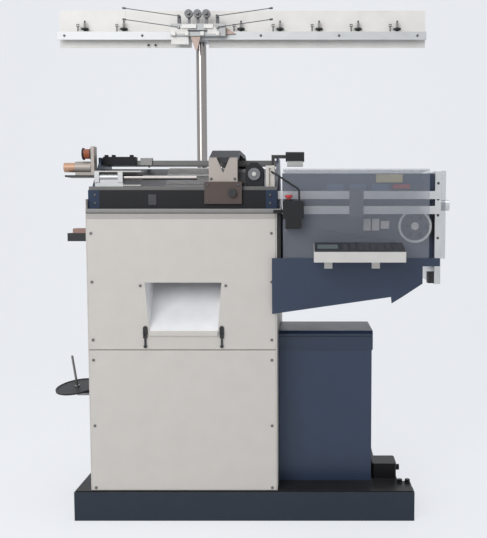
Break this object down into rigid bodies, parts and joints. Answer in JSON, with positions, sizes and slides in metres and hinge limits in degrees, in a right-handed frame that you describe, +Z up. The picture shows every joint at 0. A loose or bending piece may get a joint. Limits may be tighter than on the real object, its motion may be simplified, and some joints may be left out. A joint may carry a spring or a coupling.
{
  "type": "flat knitting machine",
  "caption": "Compact flat knitting machine: roof-shaped needle beds and cam carriage on a cabinet with an outlet, belt drive arm under a smoked cover, control box and overhead yarn rack.",
  "frame": {"origin": "middle of the underside of the base frame", "axes": "+X to the right seen from the front, +Y to the rear, +Z up"},
  "size_m": [1.393, 0.602, 1.763],
  "materials": {
    "base_blue": "satin dark blue-grey paint",
    "black_paint": "satin black paint",
    "cream_paint": "fine textured cream paint",
    "navy_paint": "satin navy paint",
    "grey_steel": "ground steel",
    "dark_steel": "oiled dark steel",
    "bright_steel": "polished steel",
    "aluminium": "milled",
    "chrome": "polished",
    "cast_grey": "machined casting",
    "black_plastic": "matt",
    "white_plastic": "matt",
    "red_plastic": "gloss",
    "copper_wire": "lacquered winding",
    "smoked": "clear smoked sheet",
    "belt_rubber": "matt",
    "cable_rubber": "matt"
  },
  "bodies": {
    "machine": {"base_frame": "base_blue", "base_deck": "black_paint", "cabinet_frame": "base_blue", "cabinet_panels": "cream_paint", "upper_front_panel": "cream_paint", "lower_front_panel": "cream_paint", "panel_screws": "bright_steel", "table_plate": "grey_steel", "glove_chute": "cream_paint", "suction_blower": "black_paint", "latch_keepers": "dark_steel", "bed_bracket_left": "navy_paint", "bed_bracket_right": "navy_paint", "front_bed": "dark_steel", "rear_bed": "dark_steel", "needles": "bright_steel", "bed_beams": "black_paint", "guide_rails": "bright_steel", "gripper_unit": "black_plastic", "press_cylinder": "aluminium", "left_actuators": "copper_wire", "selector_housing": "black_plastic", "carrier_drive_block": "cream_paint", "lamp_cable": "cable_rubber", "switch_box": "black_plastic", "drive_pan": "navy_paint", "drive_back_plate": "navy_paint", "drive_end_plate": "aluminium", "smoked_cover": "smoked", "drive_motor": "black_paint", "drive_belt": "belt_rubber", "panel_case": "white_plastic", "panel_face": "black_plastic", "control_box_body": "navy_paint", "control_box_lid": "navy_paint", "control_chassis": "grey_steel", "mast": "chrome", "rack_rail": "aluminium", "rack_board": "white_plastic", "tension_posts": "black_plastic", "tension_head": "white_plastic", "yarn_disc": "black_plastic", "spindle_arm": "bright_steel", "side_switch": "black_plastic"},
    "carriage": {"carriage_front": "cast_grey", "carriage_bridge": "cast_grey", "drive_link": "dark_steel"},
    "yarn_carrier": {"yarn_carrier": "bright_steel"},
    "press_rod": {"press_rod": "chrome"},
    "latch_left": {"latch_lever_left": "dark_steel"},
    "latch_right": {"latch_lever_right": "dark_steel"},
    "lamp": {"lamp_head": "black_plastic", "lamp_lens": "white_plastic"},
    "stop_button": {"stop_button": "red_plastic"},
    "drive_wheel": {"drive_wheel": "aluminium"},
    "idler_wheel": {"idler_wheel": "aluminium"},
    "lever_1": {"sensing_lever_1": "bright_steel"},
    "lever_2": {"sensing_lever_2": "bright_steel"},
    "lever_3": {"sensing_lever_3": "bright_steel"},
    "lever_4": {"sensing_lever_4": "bright_steel"}
  },
  "joints": [
    {"name": "carriage_slide", "type": "slide", "parent": "machine", "child": "carriage", "axis": [1, 0, 0], "range_m": [-0.195, 0]},
    {"name": "wheel_turn", "type": "hinge", "parent": "machine", "child": "drive_wheel", "pos_m": [0.5657, -0.137, 0.969], "axis": [0, 1, 0], "range_deg": [-200, 0]},
    {"name": "idler_turn", "type": "hinge", "parent": "machine", "child": "idler_wheel", "pos_m": [0.157, -0.137, 1], "axis": [0, 1, 0], "range_deg": [-445, 0]},
    {"name": "carrier_slide", "type": "slide", "parent": "machine", "child": "yarn_carrier", "axis": [1, 0, 0], "range_m": [-0.012, 0.25]},
    {"name": "press_slide", "type": "slide", "parent": "machine", "child": "press_rod", "axis": [1, 0, 0], "range_m": [-0.03, 0]},
    {"name": "latch_left_turn", "type": "hinge", "parent": "machine", "child": "latch_left", "pos_m": [-0.318, -0.2375, 0.6107], "axis": [-1, 0, 0], "range_deg": [0, 120]},
    {"name": "latch_right_turn", "type": "hinge", "parent": "machine", "child": "latch_right", "pos_m": [-0.07, -0.2375, 0.6107], "axis": [-1, 0, 0], "range_deg": [0, 120]},
    {"name": "lamp_tilt", "type": "hinge", "parent": "machine", "child": "lamp", "pos_m": [0.137, -0.184, 1.195], "axis": [1, 0, 0], "range_deg": [-15, 15]},
    {"name": "stop_press", "type": "slide", "parent": "machine", "child": "stop_button", "axis": [0, 0, 1], "range_m": [-0.004, 0], "stiffness_N_per_m": 1500, "springref_m": 0.003},
    {"name": "lever_1_swing", "type": "hinge", "parent": "machine", "child": "lever_1", "pos_m": [-0.262, 0.1283, 1.688], "axis": [0, 1, 0], "range_deg": [-14, 0], "stiffness_Nm_per_rad": 0.5, "springref_deg": 8.59},
    {"name": "lever_2_swing", "type": "hinge", "parent": "machine", "child": "lever_2", "pos_m": [-0.122, 0.1283, 1.688], "axis": [0, -1, 0], "range_deg": [-14, 0], "stiffness_Nm_per_rad": 0.5, "springref_deg": 8.59},
    {"name": "lever_3_swing", "type": "hinge", "parent": "machine", "child": "lever_3", "pos_m": [-0.262, 0.1283, 1.728], "axis": [0, 1, 0], "range_deg": [0, 14], "stiffness_Nm_per_rad": 0.5, "springref_deg": -5.73},
    {"name": "lever_4_swing", "type": "hinge", "parent": "machine", "child": "lever_4", "pos_m": [-0.122, 0.1283, 1.728], "axis": [0, -1, 0], "range_deg": [0, 14], "stiffness_Nm_per_rad": 0.5, "springref_deg": -5.73}
  ],
  "couplings": [
    {"joint": "wheel_turn", "follows": "carriage_slide", "rad_per_m": 17.762},
    {"joint": "idler_turn", "follows": "carriage_slide", "rad_per_m": 39.526}
  ]
}
